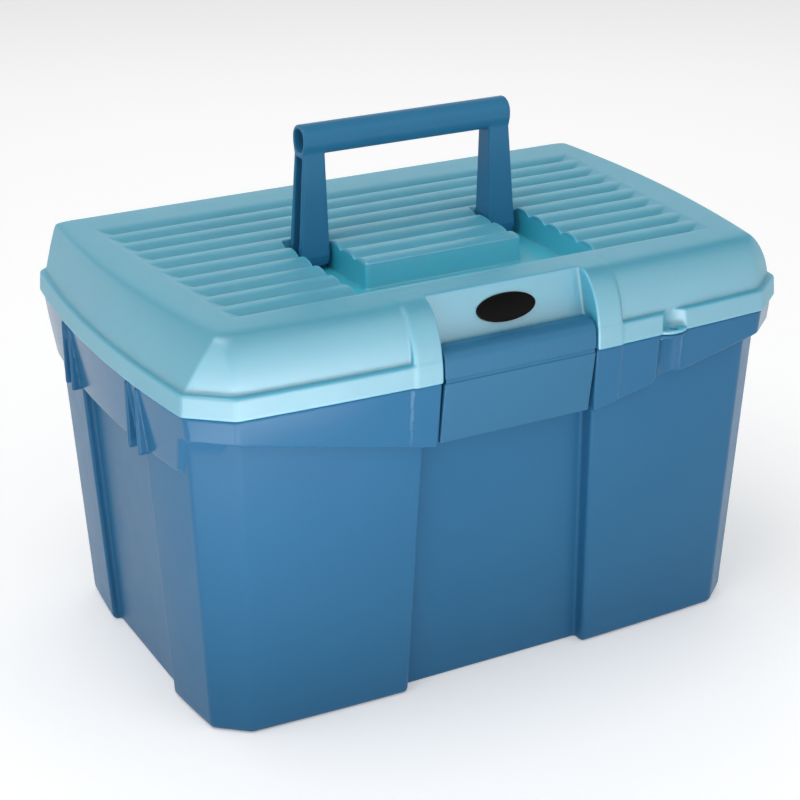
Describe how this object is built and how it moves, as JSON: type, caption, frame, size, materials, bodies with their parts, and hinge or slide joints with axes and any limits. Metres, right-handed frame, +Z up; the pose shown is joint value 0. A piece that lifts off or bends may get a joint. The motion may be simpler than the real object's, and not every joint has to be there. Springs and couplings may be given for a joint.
{
  "type": "grooming box",
  "caption": "Hinged plastic storage box for horse grooming kit: drafted tub, ribbed lid with folding handle, snap latch on a film hinge and a lift-out tray.",
  "frame": {"origin": "middle of the underside of the tub, on the floor", "axes": "+X along the box to the right as seen from the latch side, +Y from the latch to the hinge, +Z up"},
  "size_m": [0.4, 0.2756, 0.3149],
  "materials": {
    "tub_blue": "satin, slightly milky",
    "lid_aqua": "satin with a pearl sheen",
    "handle_blue": "satin",
    "latch_blue": "satin",
    "badge_black": "high gloss, domed",
    "pin_steel": "bright drawn wire",
    "tray_aqua": "satin"
  },
  "bodies": {
    "tub": {"tub": "tub_blue", "hinge_pin_left": "pin_steel", "hinge_pin_right": "pin_steel"},
    "lid": {"lid": "lid_aqua", "latch_plate": "latch_blue", "latch_film": "latch_blue", "badge": "badge_black"},
    "handle": {"handle": "handle_blue"},
    "latch_flap": {"latch_flap": "latch_blue"},
    "tray": {"tray": "tray_aqua"}
  },
  "joints": [
    {"name": "lid_hinge", "type": "hinge", "parent": "tub", "child": "lid", "pos_m": [0, 0.1339, 0.2024], "axis": [-1, 0, 0], "range_deg": [0, 105]},
    {"name": "handle_fold", "type": "hinge", "parent": "lid", "child": "handle", "pos_m": [0, 0, 0.2372], "axis": [1, 0, 0], "range_deg": [0, 90]},
    {"name": "latch_swing", "type": "hinge", "parent": "lid", "child": "latch_flap", "pos_m": [0, -0.13575, 0.2024], "axis": [-1, 0, 0], "range_deg": [0, 100], "deforming": ["latch_film"]},
    {"name": "tray_lift", "type": "slide", "parent": "tub", "child": "tray", "axis": [0, 0, 1], "range_m": [0, 0.02]}
  ]
}
